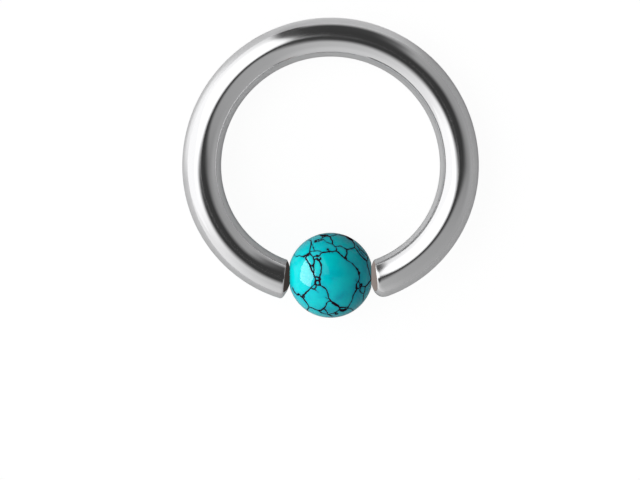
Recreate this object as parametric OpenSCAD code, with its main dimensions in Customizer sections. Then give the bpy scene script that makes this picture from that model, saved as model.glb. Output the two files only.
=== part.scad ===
// Captive bead ring: one round wire bent into a ring, with a bead held across its opening.
// It lies on its side, carried by the bead and by the wire opposite the bead.
// All sizes are in millimetres.

/* [Wire ring] */
// Thickness of the round wire
wire_d = 1.6; // [1.2:0.1:2]
// Clear width inside the ring, from side to side
inside_w = 9; // [7:0.5:12]
// How much tighter the lower half is bent than the upper half, as a difference of radius
tightening = 0.4; // [0.1:0.05:0.8]

/* [Wire ends] */
// Radius of the domed face on each end of the wire
dome_r = 1.4; // [1.3:0.1:2.4]
// How far outside the bead the middle of the wire crosses the line through the bead's hollows
crossing = 0.6; // [0.4:0.05:0.8]

/* [Bead] */
// Diameter of the bead
bead_d = 3.5; // [2.5:0.25:5]
// How far each dome reaches into the bead, along the line through both hollows
seat_depth = 0.12; // [0.08:0.02:0.2]
// Clearance between a dome and the hollow that it sits in
seat_gap = 0.04; // [0.02:0.01:0.08]

/* [Hidden] */
$fn = 96;

wire_r = wire_d / 2;
bead_r = bead_d / 2;

// The pieces are drawn flat, with the middle of the upper half at the origin and the opening
// towards -Y. These are radii along the middle of the wire.
upper_r = (inside_w + wire_d) / 2;
lower_r = upper_r - tightening;

// The domes are parts of spheres that have their centres on the line through the bead's hollows,
// so the bead can turn between them.
hollow_r = dome_r + seat_gap;
dome_x = bead_r + dome_r - seat_depth;
// Each lower arc leaves the level of the origin and crosses that line at this angle.
end_x = bead_r + crossing;
end_angle = acos((end_x - tightening) / lower_r);
bead_drop = lower_r * sin(end_angle);

// Wire that is drawn past the crossing and cut away, as a length and as an angle.
spare = 2 * crossing + wire_d;
spare_angle = 180 / PI * spare / lower_r;

// The bead is thicker than the wire, so the ring leans until both touch the ground.
lean = asin((bead_r - wire_r) / (bead_drop + upper_r));
lift = bead_r - bead_drop * sin(lean);
front = bead_drop * cos(lean) + bead_r;
back = upper_r * cos(lean) + wire_r;

// Lays a piece that is drawn flat on the ground, with the whole ring centred about the origin.
module laid_down() {
    translate([0, (front - back) / 2, lift])
        rotate([-lean, 0, 0])
            children();
}

// A stretch of wire bent on radius r about the origin, from the +X side round towards +Y.
module bent_wire(r, angle) {
    rotate_extrude(angle = angle)
        translate([r, 0])
            circle(wire_r);
}

// All that lies past the end of a wire: a block that starts at the crossing, with the dome's
// sphere taken out of its face.
module past_end() {
    translate([0, bead_drop, 0])
        difference() {
            translate([end_x, 0, 0])
                rotate([0, 0, end_angle])
                    translate([-spare, 0, -spare])
                        cube(2 * spare);
            translate([dome_x, 0, 0])
                sphere(dome_r);
        }
}

// The right side of the lower half with its domed end, drawn towards +Y.
module lower_side() {
    difference() {
        translate([tightening, 0, 0])
            bent_wire(lower_r, end_angle + spare_angle);
        past_end();
    }
}

module hoop() {
    color("silver")
        laid_down() {
            bent_wire(upper_r, 180);
            mirror([0, 1, 0]) {
                lower_side();
                mirror([1, 0, 0])
                    lower_side();
            }
        }
}

// Half the bead's outline beside the line through its hollows, which runs along Y here.
module bead_outline() {
    difference() {
        circle(bead_r);
        translate([-bead_d, -bead_r])
            square(bead_d);
        for (side = [-1, 1])
            translate([0, side * dome_x])
                circle(hollow_r);
    }
}

module bead() {
    color("darkturquoise")
        laid_down()
            translate([0, -bead_drop, 0])
                rotate([0, 90, 0])
                    rotate_extrude()
                        bead_outline();
}

hoop();
bead();
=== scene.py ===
# Captive bead ring lying on its side: a polished wire ring that holds a veined stone bead.
import math

import bpy
import mathutils
import numpy as np
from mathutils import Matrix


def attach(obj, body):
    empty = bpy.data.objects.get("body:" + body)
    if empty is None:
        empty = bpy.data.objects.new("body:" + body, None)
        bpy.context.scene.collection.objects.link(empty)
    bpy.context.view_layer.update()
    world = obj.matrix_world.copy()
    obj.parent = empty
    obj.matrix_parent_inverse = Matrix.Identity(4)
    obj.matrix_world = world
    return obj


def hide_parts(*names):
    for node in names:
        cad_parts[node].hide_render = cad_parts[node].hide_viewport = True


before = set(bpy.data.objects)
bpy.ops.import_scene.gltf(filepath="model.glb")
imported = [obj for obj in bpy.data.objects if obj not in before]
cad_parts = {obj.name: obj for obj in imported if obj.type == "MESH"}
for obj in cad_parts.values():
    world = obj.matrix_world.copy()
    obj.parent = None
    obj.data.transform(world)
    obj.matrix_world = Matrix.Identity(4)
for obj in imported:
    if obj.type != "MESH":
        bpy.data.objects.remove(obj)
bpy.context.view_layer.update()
print("stage 1: frame loaded,", len(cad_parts), "solids")

mm = 0.001  # one millimetre in the scene's metres

# All lengths here are in millimetres, as the ring and the bead are made.
ringMake = {
    "wireDiameter": 1.6,
    "insideWidth": 9.0,
    "tightening": 0.4,     # how much tighter the lower half is bent than the upper
    "domeRadius": 1.4,     # of the domed face on each end of the wire
    "crossing": 0.6,       # how far outside the bead the wire crosses the hollows' line
    # how far polishing has worn each end's rim, on the inside of the ring and outside
    "rimSoftness": {"right": (0.05, 0.34), "left": (0.04, 0.10)},
    "rimWearPower": 3,     # how closely the wear keeps to the outside
    "facesAround": 224,
    "rowsUpperHalf": 190,
    "rowsLowerSide": 84,
    "rowsRim": 6,
    "rowsDome": 24,
}
beadMake = {
    "diameter": 3.5,
    "seatDepth": 0.12,     # how far each dome reaches into the bead
    "seatGap": 0.04,       # clearance between a dome and its hollow
    "rimSoftness": 0.025,
    "facesAround": 448,
    "rowsHollow": 12,
    "rowsRim": 5,
    "rowsSide": 176,
    "grooveDepth": 0.004,  # how far the softer veins sink below the polish
    "grooveSlope": 0.03,   # width of the groove's side
}

# Lengths and places that follow from the makes.
wireRadius = ringMake["wireDiameter"] / 2
beadRadius = beadMake["diameter"] / 2
upperRadius = (ringMake["insideWidth"] + ringMake["wireDiameter"]) / 2
lowerRadius = upperRadius - ringMake["tightening"]
domeRadius = ringMake["domeRadius"]
hollowRadius = domeRadius + beadMake["seatGap"]
domeOffset = beadRadius + domeRadius - beadMake["seatDepth"]
crossingOffset = beadRadius + ringMake["crossing"]
endAngle = math.acos((crossingOffset - ringMake["tightening"]) / lowerRadius)
beadDrop = lowerRadius * math.sin(endAngle)
lean = math.asin((beadRadius - wireRadius) / (beadDrop + upperRadius))
lift = beadRadius - beadDrop * math.sin(lean)
frontReach = beadDrop * math.cos(lean) + beadRadius
backReach = upperRadius * math.cos(lean) + wireRadius
setBack = (frontReach - backReach) / 2


def turnedFlat(flat):
    # from the ring's own plane (x right, y up, z towards the eye) to the scene, by a turn of
    # the lean about X
    x, y, z = flat[..., 0], flat[..., 1], flat[..., 2]
    c, s = math.cos(lean), math.sin(lean)
    return np.stack([x, y * c + z * s, z * c - y * s], axis=-1)


def laidDown(flat):
    # the same turn, then the lift and the shift that set the ring on the floor, in metres
    return (turnedFlat(flat) + np.array([0.0, setBack, lift])) * mm


def tubeMesh(name, grid, startPole, endPole):
    # rows of a closed loop joined by quads, with a fan of triangles to a pole at each end:
    # vertex (i, j) is row i, place j round the loop, and the corners of each face run so
    # that it looks outward
    rows, cols = grid.shape[:2]
    corners = np.concatenate([grid.reshape(-1, 3), [startPole], [endPole]])
    i, j = np.meshgrid(np.arange(rows - 1), np.arange(cols), indexing="ij")
    k = (j + 1) % cols
    quads = np.stack([i * cols + j, (i + 1) * cols + j, (i + 1) * cols + k, i * cols + k], -1)
    j = np.arange(cols)
    k = (j + 1) % cols
    startFan = np.stack([np.full(cols, rows * cols), j, k], -1)
    last = (rows - 1) * cols
    endFan = np.stack([np.full(cols, rows * cols + 1), last + k, last + j], -1)
    loops = np.concatenate([quads.ravel(), startFan.ravel(), endFan.ravel()]).astype(np.int32)
    sides = np.concatenate([np.full(quads.size // 4, 4), np.full(2 * cols, 3)])
    starts = (np.cumsum(sides) - sides).astype(np.int32)
    mesh = bpy.data.meshes.new(name)
    mesh.vertices.add(len(corners))
    mesh.vertices.foreach_set("co", corners.astype(np.float32).ravel())
    mesh.loops.add(len(loops))
    mesh.loops.foreach_set("vertex_index", loops)
    mesh.polygons.add(len(starts))
    mesh.polygons.foreach_set("loop_start", starts)
    mesh.polygons.foreach_set("use_smooth", np.ones(len(starts), dtype=bool))
    mesh.update(calc_edges=True)
    mesh.validate()
    piece = bpy.data.objects.new(name, mesh)
    bpy.context.scene.collection.objects.link(piece)
    return piece


def pointAttribute(piece, name, kind, values):
    # one value or vector for each vertex, which the materials read
    layer = piece.data.attributes.new(name, kind, "POINT")
    layer.data.foreach_set("vector" if kind == "FLOAT_VECTOR" else "value",
                           np.asarray(values, dtype=np.float32).ravel())


def unit(v):
    # each vector divided by its own length
    return v / np.linalg.norm(v, axis=-1, keepdims=True)


def wireRows(centreX, radius, angles, around):
    # a bent wire: at each angle about the bend's centre, a circle of the wire's radius,
    # standing square to the bend
    rho = radius + wireRadius * np.cos(around)
    x = centreX + rho * np.cos(angles)
    y = rho * np.sin(angles)
    z = np.broadcast_to(wireRadius * np.sin(around), x.shape)
    return np.stack([x, y, z], axis=-1)


def sideAndDome(around, softness):
    # The right lower side with its domed end, as rows from the level of the ring's middle to
    # the tip. Each line along the wire runs on a circle of radius rho at height h about the
    # bend's centre, and the dome's centre is at the distance d from that; the line meets the
    # dome's sphere where cos(turn past the dome's centre) =
    # (rho^2 + d^2 + h^2 - domeRadius^2) / (2 rho d). Past that a short curve rounds the rim,
    # more outside the ring than inside, and great circles carry on to the tip.
    rho = lowerRadius + wireRadius * np.cos(around)
    h = wireRadius * np.sin(around)
    d = math.hypot(domeOffset - ringMake["tightening"], beadDrop)
    turn = np.arccos((rho ** 2 + d ** 2 + h ** 2 - domeRadius ** 2) / (2 * rho * d))
    rimAngle = math.atan2(beadDrop, domeOffset - ringMake["tightening"]) + turn
    inner, outer = softness
    worn = inner + (outer - inner) * ((1 + np.cos(around)) / 2) ** ringMake["rimWearPower"]
    wornAngle = rimAngle - worn / rho
    share = np.linspace(0, 1, ringMake["rowsLowerSide"])[:, None]
    side = wireRows(ringMake["tightening"], lowerRadius, -share * wornAngle, around)
    rim = wireRows(ringMake["tightening"], lowerRadius, -rimAngle[None, :], around)[0]
    domeMiddle = np.array([domeOffset, -beadDrop, 0.0])
    ahead = np.array([-1.0, 0.0, 0.0])
    out = unit(rim - domeMiddle)
    spread = np.arccos(np.clip(out @ ahead, -1, 1))[:, None]

    def onDome(part):
        # great circle from the rim (part 0) to the tip (part 1)
        return (np.sin((1 - part) * spread) * out + np.sin(part * spread) * ahead) \
            / np.sin(spread)
    wornPart = worn[:, None] / (domeRadius * spread)
    first, last = side[-1], domeMiddle + domeRadius * onDome(wornPart)
    t = np.linspace(0, 1, ringMake["rowsRim"] + 1)[1:, None, None]
    rimRows = (1 - t) ** 2 * first + 2 * t * (1 - t) * rim + t ** 2 * last
    parts = np.linspace(0, 1, ringMake["rowsDome"] + 1)[1:-1]
    domeRows = np.stack([domeMiddle + domeRadius * onDome(wornPart + (1 - wornPart) * p)
                         for p in parts])
    tip = domeMiddle + domeRadius * ahead
    return np.concatenate([side, rimRows, domeRows]), tip


def makeHoop():
    # the right lower side run backwards, the upper half as one arc and the left lower side,
    # which is the right one mirrored but for its rim
    around = np.linspace(0, 2 * math.pi, ringMake["facesAround"], endpoint=False)
    right, rightTip = sideAndDome(around, ringMake["rimSoftness"]["right"])
    left, leftTip = sideAndDome(around, ringMake["rimSoftness"]["left"])
    mirrored = np.array([-1.0, 1.0, 1.0])
    angles = np.linspace(0, math.pi, ringMake["rowsUpperHalf"])[1:-1, None]
    upper = wireRows(0, upperRadius, angles, around)
    grid = np.concatenate([right[::-1], upper, left * mirrored])
    tips = [rightTip, leftTip * mirrored]
    piece = tubeMesh("steel_ring", laidDown(grid), *laidDown(np.array(tips)))
    # the wire as it was before bending: x and y across it, z along it, in millimetres
    middle = grid.mean(axis=1)
    along = np.concatenate([[0], np.cumsum(np.linalg.norm(np.diff(middle, axis=0), axis=1))])
    straight = np.stack(np.broadcast_arrays(wireRadius * np.cos(around)[None, :],
                                            wireRadius * np.sin(around)[None, :],
                                            along[:, None]), axis=-1).reshape(-1, 3)
    ends = [[0, 0, -wireRadius], [0, 0, along[-1] + wireRadius]]
    pointAttribute(piece, "straightWire", "FLOAT_VECTOR", np.concatenate([straight, ends]))
    return piece


# The bead's veins are charted on a sheet where the bead is a circle, x to the right and y
# down, and each stroke is a list of places that a vein passes through.
veinChart = {
    "middle": (765, 768),
    "radius": 722,
    "boldWidth": 16,       # half a vein's thickness, in the sheet's own units
    "plainWidth": 10,
    "fineWidth": 6,
    "knotWidth": 15,
    "depthShare": 0.5,     # how far depth counts in a vein's width
    # shares of the bead's radius by which the veins waver, the waves' sizes and their seeds
    "waver": [(0.012, 0.20, 5), (0.006, 0.07, 6)],
    "thickening": (0.45, 0.35, 7),   # the same for how much their thickness changes
    "leastRise": 0.1,      # of a charted place above the bead's outline
    "behind": 0.25,        # how far behind the outline the chart still counts
    "bold": [
        [(1005, 102), (1060, 118), (1110, 145)],
        [(1245, 725), (1246, 760)],
        [(1240, 850), (1228, 885)],
        [(1196, 930), (1202, 962), (1216, 985)],
        [(935, 1366), (985, 1374), (1030, 1348)],
        [(735, 1432), (780, 1458)],
        [(345, 1362), (385, 1376)],
        [(600, 98), (655, 88), (705, 88)],
    ],
    "plain": [
        # round the large cell in the middle, from its upper left corner
        [(590, 430), (605, 402), (650, 384), (700, 376), (740, 362), (800, 370), (850, 358),
         (890, 380), (925, 412), (965, 448), (1000, 485), (1040, 515), (1090, 545),
         (1140, 590), (1180, 630), (1212, 668), (1230, 705), (1246, 745), (1246, 795),
         (1240, 850), (1215, 895), (1196, 930), (1202, 965), (1216, 990), (1190, 1040),
         (1162, 1085), (1140, 1130), (1126, 1190), (1100, 1240), (1068, 1296), (1035, 1310),
         (975, 1308), (912, 1308), (882, 1268), (838, 1238), (792, 1218), (762, 1192),
         (740, 1160), (730, 1110), (710, 1050), (680, 1002), (640, 966), (600, 940)],
        # the two lines on its left, and the small cells where they meet
        [(600, 940), (590, 900), (582, 860), (590, 822), (585, 790), (602, 740), (613, 690),
         (612, 630), (600, 580), (575, 532), (545, 515)],
        [(345, 475), (372, 520), (398, 568), (420, 622), (440, 672), (465, 718), (490, 770),
         (512, 812), (508, 855), (500, 900), (470, 942), (430, 990), (380, 1035),
         (332, 1080), (305, 1108), (285, 1135)],
        [(505, 800), (545, 795), (580, 828), (548, 850), (512, 846)],
        [(512, 905), (540, 938), (600, 940)],
        [(500, 915), (520, 930), (520, 972), (492, 1004), (455, 988)],
        # the upper left
        [(430, 180), (440, 215), (432, 262), (425, 300), (420, 345), (412, 392), (370, 428),
         (335, 436), (302, 450)],
        [(412, 392), (440, 432), (470, 462), (486, 505), (490, 555), (474, 602), (482, 655),
         (486, 705), (492, 765)],
        [(490, 452), (515, 444), (545, 434), (575, 448), (592, 430)],
        [(486, 512), (512, 496), (545, 490), (575, 502), (603, 488), (596, 466)],
        # the top
        [(500, 208), (528, 180), (560, 165), (598, 156), (632, 142), (625, 112), (606, 92),
         (655, 82), (715, 84)],
        [(510, 208), (560, 196), (602, 178), (640, 168)],
        [(560, 170), (580, 188), (620, 158)],
        [(560, 76), (620, 92), (660, 108), (700, 92), (752, 116)],
        [(632, 142), (672, 195), (720, 220), (770, 238), (806, 247), (832, 272), (857, 302),
         (862, 332), (850, 358)],
        [(640, 132), (690, 114), (752, 116), (772, 152), (792, 192), (806, 245)],
        [(752, 116), (820, 90), (880, 82), (940, 90), (1005, 102)],
        [(1110, 145), (1132, 182), (1148, 216), (1166, 246), (1172, 300)],
        # the upper right
        [(860, 285), (900, 278), (950, 286), (1000, 306), (1046, 336), (1100, 326),
         (1172, 300)],
        [(1046, 336), (1036, 382), (1030, 430), (1012, 462), (1000, 485)],
        [(1172, 300), (1212, 346), (1250, 396), (1290, 446), (1330, 490), (1372, 525),
         (1386, 580), (1400, 640), (1415, 700), (1430, 762), (1450, 830), (1420, 880),
         (1386, 925), (1350, 966), (1346, 1020), (1326, 1076), (1322, 1150), (1308, 1212)],
        [(1205, 262), (1262, 330), (1310, 362), (1360, 422), (1392, 470), (1372, 525)],
        # the right
        [(1240, 862), (1254, 902), (1300, 958), (1350, 966)],
        [(1216, 990), (1244, 988), (1270, 965)],
        [(1272, 988), (1264, 1030), (1290, 1074), (1326, 1076)],
        # the lower left
        [(285, 1135), (320, 1176), (362, 1232), (400, 1300), (384, 1340), (360, 1370)],
        [(300, 1102), (322, 1122), (325, 1140)],
        [(118, 975), (134, 1010), (166, 1066), (210, 1102), (232, 1088), (252, 1112),
         (285, 1135)],
        [(400, 1300), (450, 1320), (510, 1346), (560, 1360), (610, 1350), (650, 1330),
         (690, 1372), (716, 1420), (770, 1450)],
        [(560, 1362), (600, 1395), (660, 1415), (716, 1424)],
        [(650, 1330), (680, 1290), (702, 1240), (740, 1202), (770, 1206)],
        # the bottom
        [(716, 1424), (800, 1414), (860, 1390), (892, 1364), (912, 1330), (912, 1308)],
        [(792, 1234), (842, 1264), (896, 1286), (916, 1330), (935, 1366), (985, 1376),
         (1032, 1348), (1068, 1296)],
        [(922, 1344), (980, 1346), (1040, 1328), (1092, 1326), (1132, 1342), (1152, 1372)],
    ],
    "fine": [
        [(160, 440), (205, 446), (240, 434), (272, 456), (302, 450)],
        [(150, 434), (128, 400), (152, 356), (200, 290), (262, 240), (330, 192), (380, 174),
         (430, 182)],
        [(442, 236), (462, 280), (492, 340)],
        [(418, 372), (470, 364), (520, 356), (570, 364), (604, 382)],
        [(400, 560), (442, 610), (478, 640)],
        [(440, 612), (462, 588), (484, 560)],
        [(500, 1002), (532, 1030), (560, 1056)],
        [(680, 1140), (716, 1162), (738, 1160)],
        [(1190, 830), (1196, 862), (1222, 868)],
        [(1144, 196), (1176, 244)],
        [(1240, 330), (1290, 400), (1344, 452)],
    ],
    # blots and small closed loops: x, y, radius; knots are blots of one size
    "blots": [(1042, 114, 28), (1072, 130, 42), (1100, 150, 40), (1126, 174, 20),
              (360, 1358, 18), (1376, 432, 14), (980, 1362, 18)],
    "rings": [(548, 896, 37), (345, 446, 20), (384, 424, 17), (1276, 938, 24),
              (1016, 482, 15), (866, 1418, 20), (518, 188, 14), (536, 446, 13), (540, 498, 12)],
    "knots": [(1040, 515), (1212, 668), (1190, 1040), (1068, 1296), (308, 452), (508, 806),
              (285, 1135), (400, 1300), (1172, 304), (500, 1002), (715, 330), (570, 450),
              (600, 488), (740, 366), (812, 256), (132, 1004), (782, 1462), (1205, 905)],
}
# What the sheet doesn't show: cells scattered over the far half, with a vein between each two.
farVeins = {
    "seed": 11,
    "cells": 46,
    "halfWidth": 0.016,     # millimetres
    "evening": 1.6,         # turns a difference of distances into a distance from a vein
    "thickening": (0.6, 0.5, 8),
    "reach": (0.05, 0.17),  # how far in front of the bead's outline they are whole and end
    "thinning": 0.08,       # what is taken off their width where they end
}
wanderWaves = 10
wanderSpread = (0.7, 1.5)   # smallest and largest wave, as shares of the size asked for
farAway = 9.0               # more than any distance on the bead


def smoothStrokes(strokes, steps=4):
    # Catmull-Rom curve through the places of each stroke, as an array of short segments
    pieces = []
    for stroke in strokes:
        p = np.array(stroke, dtype=float)
        q = np.concatenate([[2 * p[0] - p[1]], p, [2 * p[-1] - p[-2]]])
        t = np.linspace(0, 1, steps, endpoint=False)[None, :, None]
        a, b, c, d = (q[n:len(q) - 3 + n][:, None, :] for n in range(4))
        curve = 0.5 * (2 * b + (c - a) * t + (2 * a - 5 * b + 4 * c - d) * t ** 2
                       + (3 * b - a - 3 * c + d) * t ** 3)
        curve = np.concatenate([curve.reshape(-1, 2), p[-1:]])
        pieces.append(np.stack([curve[:-1], curve[1:]], axis=1))
    return np.concatenate(pieces)


def sheetToBead(places):
    # a place on the sheet, seen from above, dropped on to the unit sphere
    flat = (places - np.array(veinChart["middle"])) / veinChart["radius"]
    flat[..., 1] *= -1
    rise = np.sqrt(np.clip(1 - (flat ** 2).sum(-1, keepdims=True),
                           veinChart["leastRise"] ** 2, 1))
    return np.concatenate([flat, rise], axis=-1)


def distanceToSegments(points, segments):
    # smallest distance from each point to any of the straight segments a-b
    nearest = np.full(len(points), farAway)
    for a, b in segments:
        way = b - a
        t = np.clip((points - a) @ way / (way @ way), 0, 1)
        nearest = np.minimum(nearest, np.linalg.norm(points - a - t[:, None] * way, axis=1))
    return nearest


def wander(points, size, seed):
    # a smooth random shift of each point: sums of sine waves in random directions,
    # about one wave to each size
    rng = np.random.default_rng(seed)
    shift = np.zeros_like(points)
    for _ in range(wanderWaves):
        direction = unit(rng.normal(size=3)) * 2 * math.pi \
            / (size * rng.uniform(*wanderSpread))
        shift += np.sin(points @ direction + rng.uniform(0, 2 * math.pi))[:, None] \
            * unit(rng.normal(size=3))
    return shift / math.sqrt(wanderWaves)


def veinEdge(points, axes):
    # distance in millimetres from each point of the bead to the edge of the nearest vein,
    # less than nothing inside one; axes are the sheet's x, y and the line of sight
    points = points + sum(share * wander(points, size, seed)
                          for share, size, seed in veinChart["waver"])
    seen = points @ axes.T
    front = seen[:, 2] > -veinChart["behind"]
    # depth counts for less, so that veins hold their width as they near the outline
    flattened = np.array([1.0, 1.0, veinChart["depthShare"]])
    shown = seen[front] * flattened
    toUnit = 1 / veinChart["radius"]
    share, size, seed = veinChart["thickening"]
    thickness = 1 + share * wander(shown, size, seed)[:, 0]
    best = np.full(len(shown), farAway)
    for kind in ("bold", "plain", "fine"):
        strokes = sheetToBead(smoothStrokes(veinChart[kind])) * flattened
        reach = distanceToSegments(shown, strokes)
        best = np.minimum(best, reach - veinChart[kind + "Width"] * toUnit * thickness)
    knots = [(x, y, veinChart["knotWidth"]) for x, y in veinChart["knots"]]
    for x, y, radius in veinChart["blots"] + knots:
        middle = sheetToBead(np.array([x, y], dtype=float)) * flattened
        reach = np.linalg.norm(shown - middle, axis=1)
        best = np.minimum(best, reach - radius * toUnit * thickness)
    for x, y, radius in veinChart["rings"]:
        middle = sheetToBead(np.array([x, y], dtype=float)) * flattened
        reach = np.abs(np.linalg.norm(shown - middle, axis=1) - radius * toUnit)
        best = np.minimum(best, reach - veinChart["plainWidth"] * toUnit)
    edge = np.full(len(points), farAway)
    edge[front] = best
    rng = np.random.default_rng(farVeins["seed"])
    cells = unit(rng.normal(size=(farVeins["cells"], 3)))
    reach = np.sort(np.linalg.norm(points[:, None, :] - cells[None], axis=2), axis=1)
    between = (reach[:, 1] - reach[:, 0]) / farVeins["evening"]
    share, size, seed = farVeins["thickening"]
    thickness = 1 + share * wander(points, size, seed)[:, 0]
    far = between - farVeins["halfWidth"] / beadRadius * thickness
    whole, end = farVeins["reach"]
    held = np.clip((seen[:, 2] - whole) / (end - whole), 0, 1)
    edge = np.minimum(edge, far + farVeins["thinning"] * np.sqrt(held))
    return edge * beadRadius


def makeBead(sheetAxes):
    # Outline of half the bead in the plane of its axis: a hollow's arc, a small rounded rim,
    # the outer arc, and the same again; it is carried round the axis as a full turn.
    rimU = (beadRadius ** 2 - hollowRadius ** 2 + domeOffset ** 2) / (2 * domeOffset)
    rimV = math.sqrt(beadRadius ** 2 - rimU ** 2)
    rim = np.array([rimU, rimV])
    hollowSpread = math.atan2(rimV, domeOffset - rimU)
    outerSpread = math.atan2(rimV, rimU)
    hollowAngles = np.linspace(0, hollowSpread - beadMake["rimSoftness"] / hollowRadius,
                               beadMake["rowsHollow"] + 1)[1:]
    hollow = np.stack([domeOffset - hollowRadius * np.cos(hollowAngles),
                       hollowRadius * np.sin(hollowAngles)], axis=1)
    start = outerSpread + beadMake["rimSoftness"] / beadRadius
    sideAngles = np.linspace(start, math.pi - start, beadMake["rowsSide"])
    side = beadRadius * np.stack([np.cos(sideAngles), np.sin(sideAngles)], axis=1)
    t = np.linspace(0, 1, beadMake["rowsRim"] + 1)[1:-1, None]
    rimRows = (1 - t) ** 2 * hollow[-1] + 2 * t * (1 - t) * rim + t ** 2 * side[0]
    mirrored = np.array([-1.0, 1.0])
    outline = np.concatenate([hollow, rimRows, side, (rimRows * mirrored)[::-1],
                              (hollow * mirrored)[::-1]])
    around = np.linspace(0, 2 * math.pi, beadMake["facesAround"], endpoint=False)
    u, v = outline[:, :1], outline[:, 1:]
    grid = np.stack(np.broadcast_arrays(u, v * np.cos(around), v * np.sin(around)), axis=-1)
    pole = domeOffset - hollowRadius
    poles = np.array([[pole, 0, 0], [-pole, 0, 0]])
    flat = np.concatenate([grid.reshape(-1, 3), poles])
    edge = veinEdge(turnedFlat(flat) / beadRadius, sheetAxes)
    # the veins are a little softer than the stone, so polishing sinks them
    sunk = np.clip(0.5 - edge / beadMake["grooveSlope"], 0, 1)[:, None] \
        * beadMake["grooveDepth"]
    flat = flat - unit(flat) * sunk
    placed = laidDown(flat + np.array([0.0, -beadDrop, 0.0]))
    piece = tubeMesh("stone_bead", placed[:-2].reshape(grid.shape), placed[-2], placed[-1])
    pointAttribute(piece, "veinEdge", "FLOAT", edge)
    return piece


view = {
    "focalLength": 200.0,       # millimetres, on a film 36 wide
    "filmWidth": 36.0,
    "pixelsPerMm": 24.31,       # scale of the picture in the plane of the ring
    "pictureWidth": 640,
    "aim": (-0.434, -3.046, 0.0),  # what the picture is centred on, from the ring's middle
    "clip": (5.0, 20000.0),     # nearest and farthest that it sees
}


def makeCamera():
    # the camera looks straight along the ring's axis, as far off as the picture's scale asks
    data = bpy.data.cameras.new("camera")
    data.lens = view["focalLength"]
    data.sensor_width = view["filmWidth"]
    data.clip_start, data.clip_end = (length * mm for length in view["clip"])
    away = view["pictureWidth"] * view["focalLength"] / view["filmWidth"] / view["pixelsPerMm"]
    camera = bpy.data.objects.new("camera", data)
    camera.location = laidDown(np.array(view["aim"]) + np.array([0.0, 0.0, away]))
    camera.rotation_euler = (-lean, 0.0, 0.0)
    bpy.context.scene.collection.objects.link(camera)
    bpy.context.scene.camera = camera
    return np.array(camera.location)


def linear(code):
    # a colour as it is read off a screen, such as 8FA0B0, turned into linear light
    levels = [int(code[n:n + 2], 16) / 255 for n in (0, 2, 4)]
    return tuple(v / 12.92 if v <= 0.04045 else ((v + 0.055) / 1.055) ** 2.4
                 for v in levels) + (1.0,)


def addNode(tree, kind, inputs=None, **settings):
    # one node with its settings; an input is a value or another node's output. A Mix node's
    # two colours are its inputs 6 and 7, and the mixed one is its output 2.
    node = tree.nodes.new(kind)
    for name, value in settings.items():
        setattr(node, name, value)
    for name, value in (inputs or {}).items():
        if isinstance(value, bpy.types.NodeSocket):
            tree.links.new(value, node.inputs[name])
        else:
            node.inputs[name].default_value = value
    return node


def newMaterial(name):
    # an empty material and its node tree
    material = bpy.data.materials.new(name)
    material.use_nodes = True
    material.node_tree.nodes.clear()
    return material, material.node_tree


# Surgical stainless steel wire, drawn, bent and polished on a wheel. It mirrors the studio
# almost without blur, a little greyer than silver, with faint polishing lines along it.
steelFinish = {
    "colour": "E7E7E8",
    "roughness": (0.07, 0.13),
    "patternSpan": (0.12, 0.42),  # of the pattern, over which the roughness changes
    "lineSpacing": 0.05,    # millimetres; real ones are finer, drawn coarser so they show
    "lineLength": 2.5,
    "lineDepth": 0.00006,
    "cloudSize": 1.8,
}


def polishedSteel():
    # long fine lines along the wire, stronger where the clouds are, change its roughness and
    # its relief
    material, tree = newMaterial("polished_surgical_steel")
    place = addNode(tree, "ShaderNodeAttribute", attribute_name="straightWire")
    across, along = 1 / steelFinish["lineSpacing"], 1 / steelFinish["lineLength"]
    stretch = addNode(tree, "ShaderNodeMapping",
                      {"Vector": place.outputs["Vector"], "Scale": (across, across, along)})
    lines = addNode(tree, "ShaderNodeTexNoise",
                    {"Vector": stretch.outputs["Vector"], "Scale": 1.0, "Detail": 3.0,
                     "Roughness": 0.6})
    clouds = addNode(tree, "ShaderNodeTexNoise",
                     {"Vector": place.outputs["Vector"], "Scale": 1 / steelFinish["cloudSize"],
                      "Detail": 4.0, "Roughness": 0.6})
    mixed = addNode(tree, "ShaderNodeMath", {0: lines.outputs["Fac"], 1: clouds.outputs["Fac"]},
                    operation="MULTIPLY")
    low, high = steelFinish["roughness"]
    start, end = steelFinish["patternSpan"]
    rough = addNode(tree, "ShaderNodeMapRange",
                    {"Value": mixed.outputs[0], "From Min": start, "From Max": end,
                     "To Min": low, "To Max": high})
    relief = addNode(tree, "ShaderNodeBump",
                     {"Height": lines.outputs["Fac"], "Strength": 1.0,
                      "Distance": steelFinish["lineDepth"] * mm})
    steel = addNode(tree, "ShaderNodeBsdfPrincipled",
                    {"Base Color": linear(steelFinish["colour"]), "Metallic": 1.0,
                     "Roughness": rough.outputs[0], "Normal": relief.outputs[0]})
    addNode(tree, "ShaderNodeOutputMaterial", {"Surface": steel.outputs[0]})
    return material


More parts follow.
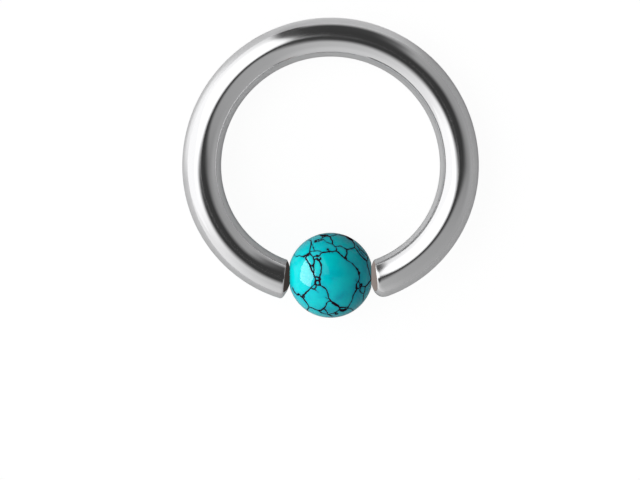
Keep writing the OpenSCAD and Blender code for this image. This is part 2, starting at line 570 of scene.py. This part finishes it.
# Howlite dyed turquoise, tumbled and polished: an opaque, slightly cloudy blue green under a
# glassy polish, with dark brown veins that the dye has gathered beside.
stoneFinish = {
    "tones": [(0.30, "009EB6"), (0.50, "00B8C6"), (0.72, "00C6CC")],  # by the clouds' level
    "stain": "009EB6",
    "stainStrength": 0.55,
    "stainReach": 0.11,     # millimetres that the dye darkens beside a vein
    "vein": "12060C",
    "veinPale": "2C1626",
    "veinEdge": (0.018, 0.040),   # millimetres over which a vein's edge fades
    "veinRagged": 0.05,     # how far the grain moves that edge
    "cloudSize": 0.9,
    "grainSize": 0.09,
    "grainDepth": 0.0006,
    "roughness": 0.0,       # as clear as glass
    "veinRoughness": 0.35,
    "index": 1.52,
    "gloss": 0.19,          # strength of the polish's gloss, where 0.5 is plain glass
    "veinGloss": 0.0,
    # Painted reflection: to glossy rays from near by, the stone glows as a brown shape in
    # place of itself, darker on the left and brighter on the right, which the steel beside it
    # mirrors: its glow on the left and on the right, its colour and how near the steel has to
    # be, in millimetres.
    "mirrored": (0.06, 0.5),
    "paintedReflectionTone": "D8C8C0",
    "paintedReflectionFrom": 2.0,
}


def dyedHowlite():
    # the clouds' level picks the stone's tone, and the distance to the nearest vein's edge,
    # moved a little by the grain, picks between stone, stain and vein
    material, tree = newMaterial("dyed_howlite_stone")
    coords = addNode(tree, "ShaderNodeTexCoord")
    place = addNode(tree, "ShaderNodeMapping",
                    {"Vector": coords.outputs["Object"], "Scale": (1 / mm, 1 / mm, 1 / mm)})
    clouds = addNode(tree, "ShaderNodeTexNoise",
                     {"Vector": place.outputs[0], "Scale": 1 / stoneFinish["cloudSize"],
                      "Detail": 5.0, "Roughness": 0.55, "Distortion": 0.4})
    grain = addNode(tree, "ShaderNodeTexNoise",
                    {"Vector": place.outputs[0], "Scale": 1 / stoneFinish["grainSize"],
                     "Detail": 3.0, "Roughness": 0.6})
    tone = addNode(tree, "ShaderNodeValToRGB", {"Fac": clouds.outputs["Fac"]})
    steps = tone.color_ramp.elements
    (low, deep), (middle, body), (high, light) = stoneFinish["tones"]
    steps[0].position, steps[0].color = low, linear(deep)
    steps[1].position, steps[1].color = high, linear(light)
    steps.new(middle).color = linear(body)
    edge = addNode(tree, "ShaderNodeAttribute", attribute_name="veinEdge")
    stain = addNode(tree, "ShaderNodeMapRange",
                    {"Value": edge.outputs["Fac"], "From Min": 0.0,
                     "From Max": stoneFinish["stainReach"],
                     "To Min": stoneFinish["stainStrength"], "To Max": 0.0},
                    interpolation_type="SMOOTHSTEP")
    stained = addNode(tree, "ShaderNodeMix",
                      {"Factor": stain.outputs[0], 6: tone.outputs["Color"],
                       7: linear(stoneFinish["stain"])}, data_type="RGBA")
    ragged = addNode(tree, "ShaderNodeMath",
                     {0: grain.outputs["Fac"], 1: stoneFinish["veinRagged"],
                      2: edge.outputs["Fac"]}, operation="MULTIPLY_ADD")
    start, end = stoneFinish["veinEdge"]
    inside = addNode(tree, "ShaderNodeMapRange",
                     {"Value": ragged.outputs[0], "From Min": start, "From Max": end,
                      "To Min": 1.0, "To Max": 0.0}, interpolation_type="SMOOTHSTEP")
    veinTone = addNode(tree, "ShaderNodeMix",
                       {"Factor": grain.outputs["Fac"], 6: linear(stoneFinish["vein"]),
                        7: linear(stoneFinish["veinPale"])}, data_type="RGBA")
    colour = addNode(tree, "ShaderNodeMix",
                     {"Factor": inside.outputs[0], 6: stained.outputs[2],
                      7: veinTone.outputs[2]}, data_type="RGBA")
    rough = addNode(tree, "ShaderNodeMapRange",
                    {"Value": inside.outputs[0], "To Min": stoneFinish["roughness"],
                     "To Max": stoneFinish["veinRoughness"]})
    gloss = addNode(tree, "ShaderNodeMapRange",
                    {"Value": inside.outputs[0], "To Min": stoneFinish["gloss"],
                     "To Max": stoneFinish["veinGloss"]})
    relief = addNode(tree, "ShaderNodeBump",
                     {"Height": grain.outputs["Fac"], "Strength": 1.0,
                      "Distance": stoneFinish["grainDepth"] * mm})
    stone = addNode(tree, "ShaderNodeBsdfPrincipled",
                    {"Base Color": colour.outputs[2], "Roughness": rough.outputs[0],
                     "IOR": stoneFinish["index"], "Specular IOR Level": gloss.outputs[0],
                     "Normal": relief.outputs[0]})
    # painted reflection: to glossy rays from less than two millimetres away the stone is a
    # glowing brown shape, darker on the left and brighter on the right, for the steel beside it
    # to mirror; glossy rays from further off pass through it
    parts = addNode(tree, "ShaderNodeSeparateXYZ", {"Vector": coords.outputs["Object"]})
    left, right = stoneFinish["mirrored"]
    paintedReflectionGlow = addNode(tree, "ShaderNodeMapRange",
                  {"Value": parts.outputs["X"], "From Min": -beadRadius * mm,
                   "From Max": beadRadius * mm, "To Min": left, "To Max": right})
    shape = addNode(tree, "ShaderNodeEmission",
                    {"Color": linear(stoneFinish["paintedReflectionTone"]), "Strength": paintedReflectionGlow.outputs[0]})
    path = addNode(tree, "ShaderNodeLightPath")
    far = addNode(tree, "ShaderNodeMath",
                  {0: path.outputs["Ray Length"], 1: stoneFinish["paintedReflectionFrom"] * mm},
                  operation="GREATER_THAN")
    clear = addNode(tree, "ShaderNodeBsdfTransparent")
    mirrored = addNode(tree, "ShaderNodeMixShader",
                       {0: far.outputs[0], 1: shape.outputs[0], 2: clear.outputs[0]})
    seen = addNode(tree, "ShaderNodeMixShader",
                   {0: path.outputs["Is Glossy Ray"], 1: stone.outputs[0],
                    2: mirrored.outputs[0]})
    addNode(tree, "ShaderNodeOutputMaterial", {"Surface": seen.outputs[0]})
    return material


# The floor, the light panels and the room round them.
studio = {
    "floorSize": 3000.0,        # millimetres
    "boardColour": "E8E8E8",    # the board as the steel and the polish mirror it
    "boardBounce": "505050",    # the board as it lights the undersides
    "boardGloss": 0.34,         # roughness of its top
    "boardSheen": 0.30,         # how far it mirrors the walls, as a share
    "boardGlow": 0.93,          # light that comes through the board, as the camera sees it
    "boardShade": 0.14,         # light that it scatters back, in which faint shadows show
    # Painted light: the board's top glows in two wedges outside the ring, which the steel
    # mirrors as brighter rims: by how much as the steel mirrors it, toward which azimuth in the
    # picture and how far to each side of it, in degrees, and from where to where it grows, in
    # millimetres from the ring's middle.
    "paintedLightWedges": [(0.26, 83, 37, 5.5, 6.5), (0.34, 157, 30, 7.0, 10.0)],
    "backdrop": 1.0,
    "panelAway": 300.0,         # millimetres from the ring to the light panels' corners
    # Each panel's corner and the next ones along its length and its width, in degrees off
    # the camera's line and of azimuth in the picture. The glare is the bead's window-like
    # highlight on the left, the fill is what lights its left side.
    "glareCorners": [(105.5, 178.6), (65.7, 211), (86.4, 143)],
    "glare": 11.5,              # its brightness in the bead's polish
    "wall": 1.2,                # and in the steel, as bright as the wall there
    "fillCorners": [(100, 185), (62, 220), (75, 150)],
    "fill": 3.3,
    "fillTone": "FFFFEE",
    "dark": 0.045,              # brightness round the camera, where the room is unlit
    "scale": 2.0,               # the ramp holds shares of this brightness
    # Brightness by azimuth in the picture, from left (0) over down (0.25), right (0.5) and
    # up (0.75) back to left (1), first well above the floor and then close to it: pale walls
    # on the left, and a ceiling that is darkest above the picture. The one turns into the
    # other over so many right angles, unless a row has a number of its own for that.
    "fade": 0.29,
    "sides": [(0.0, 1.3, 1.15), (0.04, 1.25, 1.05), (0.075, 1.1, 0.99), (0.125, 0.86, 0.92),
              (0.16, 0.73, 0.8), (0.21, 0.6, 0.7), (0.25, 0.56, 0.66), (0.29, 0.51, 0.6),
              (0.335, 0.43, 0.45), (0.42, 0.39, 0.4), (0.5, 0.30, 0.43), (0.54, 0.32, 0.4),
              (0.60, 0.37, 0.38), (0.645, 0.39, 0.43), (0.67, 0.15, 0.41), (0.70, 0.06, 0.6),
              (0.75, 0.05, 0.72), (0.779, 0.055, 0.61), (0.784, 0.055, 0.08),
              (0.789, 0.055, 0.08, 0.12), (0.796, 1.0, 0.08, 0.12), (0.802, 1.35, 0.08, 0.14),
              (0.808, 1.35, 0.10, 0.16), (0.814, 1.35, 0.5, 0.22), (0.820, 1.35, 0.95),
              (0.86, 1.35, 1.1), (0.90, 1.4, 1.2), (1.0, 1.3, 1.15)],
    # How far from the camera's line, in degrees, the dark ends and the middle level is
    # reached, and where the low level begins.
    "darkReach": [(0.0, 8, 30, 48), (0.04, 14, 34, 48), (0.085, 15, 40, 48),
                  (0.125, 12, 45, 50), (0.20, 14, 40, 50), (0.25, 14, 36, 50),
                  (0.30, 6, 30, 50), (0.34, 0, 12, 50), (0.375, 0, 12, 50),
                  (0.42, 0, 17, 50), (0.458, 0, 24, 50), (0.5, 14, 56, 50),
                  (0.54, 22, 54, 48), (0.60, 24, 50, 48), (0.64, 18, 48, 52),
                  (0.66, 20, 50, 56), (0.70, 30, 60, 64), (0.785, 26, 56, 66),
                  (0.789, 9, 14, 14), (0.796, 6, 14, 19), (0.802, 3, 13, 27),
                  (0.808, 1, 12, 36), (0.814, 0, 12, 44), (0.820, 0, 11, 48),
                  (0.875, 0, 13, 50), (0.95, 0, 17, 48), (1.0, 8, 30, 48)],
}


def paintedLightWedge(tree, place, strength, toward, turn, start, end):
    # painted light, a glow on the board's top in a wedge outside the ring:
    # strength * smoothstep(cos(turn), 1, cos(azimuth - toward)) * smoothstep(start, end,
    # distance)
    away = addNode(tree, "ShaderNodeVectorMath", {0: place}, operation="LENGTH")
    aimed = addNode(tree, "ShaderNodeVectorMath", {0: place}, operation="NORMALIZE")
    toward, turn = math.radians(toward), math.radians(turn)
    facing = addNode(tree, "ShaderNodeVectorMath",
                     {0: aimed.outputs[0], 1: (math.cos(toward), math.sin(toward), 0.0)},
                     operation="DOT_PRODUCT")
    grown = addNode(tree, "ShaderNodeMapRange",
                    {"Value": away.outputs["Value"], "From Min": start * mm,
                     "From Max": end * mm, "To Min": 0.0, "To Max": strength},
                    interpolation_type="SMOOTHSTEP")
    paintedGlow = addNode(tree, "ShaderNodeMapRange",
                    {"Value": facing.outputs["Value"], "From Min": math.cos(turn),
                     "From Max": 1.0, "To Min": 0.0, "To Max": grown.outputs[0]},
                    interpolation_type="SMOOTHSTEP")
    return paintedGlow.outputs[0]


def litBoard():
    # A white acrylic board lit from below, as under goods that are pictured on plain white:
    # the camera sees it almost without shadows, and the pieces see its dimmer, slightly
    # glossy top.
    material, tree = newMaterial("lit_white_board")
    path = addNode(tree, "ShaderNodeLightPath")
    place = addNode(tree, "ShaderNodeTexCoord").outputs["Object"]
    # painted light: the top glows in two wedges outside the ring, which the steel mirrors as
    # brighter rims
    top, left = (paintedLightWedge(tree, place, *row) for row in studio["paintedLightWedges"])
    paintedGlow = addNode(tree, "ShaderNodeMath", {0: top, 1: left}, operation="ADD")
    colour = addNode(tree, "ShaderNodeMix",
                     {"Factor": path.outputs["Is Diffuse Ray"],
                      6: linear(studio["boardColour"]), 7: linear(studio["boardBounce"])},
                     data_type="RGBA")
    board = addNode(tree, "ShaderNodeBsdfPrincipled",
                    {"Base Color": colour.outputs[2],
                     "Metallic": studio["boardSheen"], "Roughness": studio["boardGloss"],
                     "Emission Color": (1.0, 1.0, 1.0, 1.0),
                     "Emission Strength": paintedGlow.outputs[0]})
    shade = addNode(tree, "ShaderNodeBsdfDiffuse",
                    {"Color": (studio["boardShade"],) * 3 + (1.0,)})
    glow = addNode(tree, "ShaderNodeEmission", {"Strength": studio["boardGlow"]})
    pale = addNode(tree, "ShaderNodeAddShader", {0: shade.outputs[0], 1: glow.outputs[0]})
    seen = addNode(tree, "ShaderNodeMixShader",
                   {0: path.outputs["Is Camera Ray"], 1: board.outputs[0],
                    2: pale.outputs[0]})
    addNode(tree, "ShaderNodeOutputMaterial", {"Surface": seen.outputs[0]})
    return material


def makeFloor():
    half = studio["floorSize"] / 2 * mm
    mesh = bpy.data.meshes.new("floor")
    mesh.from_pydata([(-half, -half, 0), (half, -half, 0), (half, half, 0), (-half, half, 0)],
                     [], [(0, 1, 2, 3)])
    floor = bpy.data.objects.new("floor", mesh)
    bpy.context.scene.collection.objects.link(floor)
    mesh.materials.append(litBoard())


def panelSpan(corners):
    # a flat oblong panel square to its directions: its first corner and the ways along and
    # across it to the next two
    off, turn = np.radians(np.array(corners, dtype=float)).T
    ways = np.stack([np.sin(off) * np.cos(turn), np.sin(off) * np.sin(turn), np.cos(off)], -1)
    corner, along, across = ways * studio["panelAway"]
    return corner, along - corner, across - corner


def makeGlarePanel():
    # a panel that shines evenly in the stone's clear polish and lights nothing else; in the
    # steel, which mirrors less sharply, it is only as bright as the wall behind it
    corner, along, across = panelSpan(studio["glareCorners"])
    corners = laidDown(np.stack([corner, corner + across, corner + across + along,
                                 corner + along]))
    mesh = bpy.data.meshes.new("glare_panel")
    mesh.from_pydata([tuple(c) for c in corners], [], [(0, 1, 2, 3)])
    panel = bpy.data.objects.new("glare_panel", mesh)
    panel.visible_camera = False
    panel.visible_diffuse = False
    bpy.context.scene.collection.objects.link(panel)
    material, tree = newMaterial("glare_panel_light")
    path = addNode(tree, "ShaderNodeLightPath")
    strength = addNode(tree, "ShaderNodeMapRange",
                       {"Value": path.outputs["Is Singular Ray"], "To Min": studio["wall"],
                        "To Max": studio["glare"]})
    shine = addNode(tree, "ShaderNodeEmission", {"Strength": strength.outputs[0]})
    addNode(tree, "ShaderNodeOutputMaterial", {"Surface": shine.outputs[0]})
    material.cycles.emission_sampling = "NONE"  # only a ray that a gloss sends there finds it
    mesh.materials.append(material)


def makeFillPanel(lit):
    # an even panel that lights one piece, past the others, and shows in no gloss; its back is
    # turned outward
    corner, along, across = panelSpan(studio["fillCorners"])
    back = unit(np.cross(along, across))
    axes = turnedFlat(np.stack([unit(along), np.cross(back, unit(along)), back]))
    data = bpy.data.lights.new("fill_panel", "AREA")
    data.shape = "RECTANGLE"
    data.size = float(np.linalg.norm(along)) * mm
    data.size_y = float(np.linalg.norm(across)) * mm
    # its brightness is its power over four times its area
    data.energy = studio["fill"] * 4 * data.size * data.size_y
    data.color = linear(studio["fillTone"])[:3]
    panel = bpy.data.objects.new("fill_panel", data)
    turned = mathutils.Matrix(axes.T.tolist()).to_4x4()
    middle = laidDown(corner + (along + across) / 2)
    panel.matrix_world = mathutils.Matrix.Translation(middle.tolist()) @ turned
    panel.visible_camera = False
    panel.visible_glossy = False
    receivers = bpy.data.collections.new("lit_by_fill_panel")
    receivers.objects.link(lit)
    panel.light_linking.receiver_collection = receivers
    panel.light_linking.blocker_collection = receivers
    bpy.context.scene.collection.objects.link(panel)


rightAngle = 90  # degrees


def rampNode(tree, socket, stops, whole):
    # a ramp through the given stops: a position and its levels, as shares of the whole
    ramp = addNode(tree, "ShaderNodeValToRGB", {"Fac": socket})
    steps = ramp.color_ramp.elements
    steps[-1].position = 1.0
    for n, (position, *levels) in enumerate(stops):
        last = n == len(stops) - 1
        step = steps[0] if n == 0 else steps[-1] if last else steps.new(position)
        step.color = tuple(level / whole for level in levels) + (1.0,)
    split = addNode(tree, "ShaderNodeSeparateColor", {"Color": ramp.outputs["Color"]})
    return split.outputs


def makeLight():
    # The studio as a brightness for each direction: dark round the camera's line, then the
    # middle level and, nearer the floor, the low level of the side it points to.
    world = bpy.data.worlds.new("studio")
    bpy.context.scene.world = world
    world.use_nodes = True
    tree = world.node_tree
    tree.nodes.clear()
    axes = turnedFlat(np.eye(3))
    toward = addNode(tree, "ShaderNodeTexCoord")
    x, y, z = (addNode(tree, "ShaderNodeVectorMath",
                       {0: toward.outputs["Generated"], 1: tuple(float(v) for v in axis)},
                       operation="DOT_PRODUCT").outputs["Value"] for axis in axes)
    # how far off the camera's line, in right angles, and which way round, from 0 to 1
    polar = addNode(tree, "ShaderNodeMath", {0: z}, operation="ARCCOSINE")
    part = addNode(tree, "ShaderNodeMath", {0: polar.outputs[0], 1: 2 / math.pi},
                   operation="MULTIPLY").outputs[0]
    angle = addNode(tree, "ShaderNodeMath", {0: y, 1: x}, operation="ARCTAN2")
    turn = addNode(tree, "ShaderNodeMath",
                   {0: angle.outputs[0], 1: 0.5 / math.pi, 2: 0.5},
                   operation="MULTIPLY_ADD").outputs[0]
    rows = [row if len(row) == 4 else row + (studio["fade"],) for row in studio["sides"]]
    sides = rampNode(tree, turn, rows, studio["scale"])
    reach = rampNode(tree, turn, studio["darkReach"], rightAngle)
    lowEnd = addNode(tree, "ShaderNodeMath",
                     {0: sides[2], 1: studio["scale"], 2: reach[2]}, operation="MULTIPLY_ADD")
    low = addNode(tree, "ShaderNodeMapRange",
                  {"Value": part, "From Min": reach[2], "From Max": lowEnd.outputs[0],
                   "To Min": sides[0], "To Max": sides[1]}, interpolation_type="SMOOTHSTEP")
    bright = addNode(tree, "ShaderNodeMath", {0: low.outputs[0], 1: studio["scale"]},
                     operation="MULTIPLY")
    level = addNode(tree, "ShaderNodeMapRange",
                    {"Value": part, "From Min": reach[0], "From Max": reach[1],
                     "To Min": studio["dark"], "To Max": bright.outputs[0]},
                    interpolation_type="SMOOTHSTEP")
    path = addNode(tree, "ShaderNodeLightPath")
    seen = addNode(tree, "ShaderNodeMapRange",
                   {"Value": path.outputs["Is Camera Ray"], "To Min": level.outputs[0],
                    "To Max": studio["backdrop"]})
    light = addNode(tree, "ShaderNodeBackground", {"Color": seen.outputs[0]})
    addNode(tree, "ShaderNodeOutputWorld", {"Surface": light.outputs[0]})


# The build: camera, ring, bead, floor and light.
cameraPlace = makeCamera()
beadMiddle = laidDown(np.array([0.0, -beadDrop, 0.0]))
sight = unit(cameraPlace - beadMiddle)
sheetRight = unit(np.cross([0.0, 1.0, 0.0], sight))
sheetAxes = np.stack([sheetRight, np.cross(sight, sheetRight), sight])

hoop = makeHoop()
hoop.data.materials.append(polishedSteel())
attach(hoop, "ring")
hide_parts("hoop")
print("stage 2: steel ring,", len(hoop.data.polygons), "faces")

bead = makeBead(sheetAxes)
bead.data.materials.append(dyedHowlite())
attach(bead, "turning_bead")
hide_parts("bead")
print("stage 3: stone bead,", len(bead.data.polygons), "faces")

makeFloor()
makeGlarePanel()
makeFillPanel(bead)
makeLight()
bpy.context.scene.view_settings.view_transform = "Standard"
print("stage 4: floor and light")

bpy.context.view_layer.update()
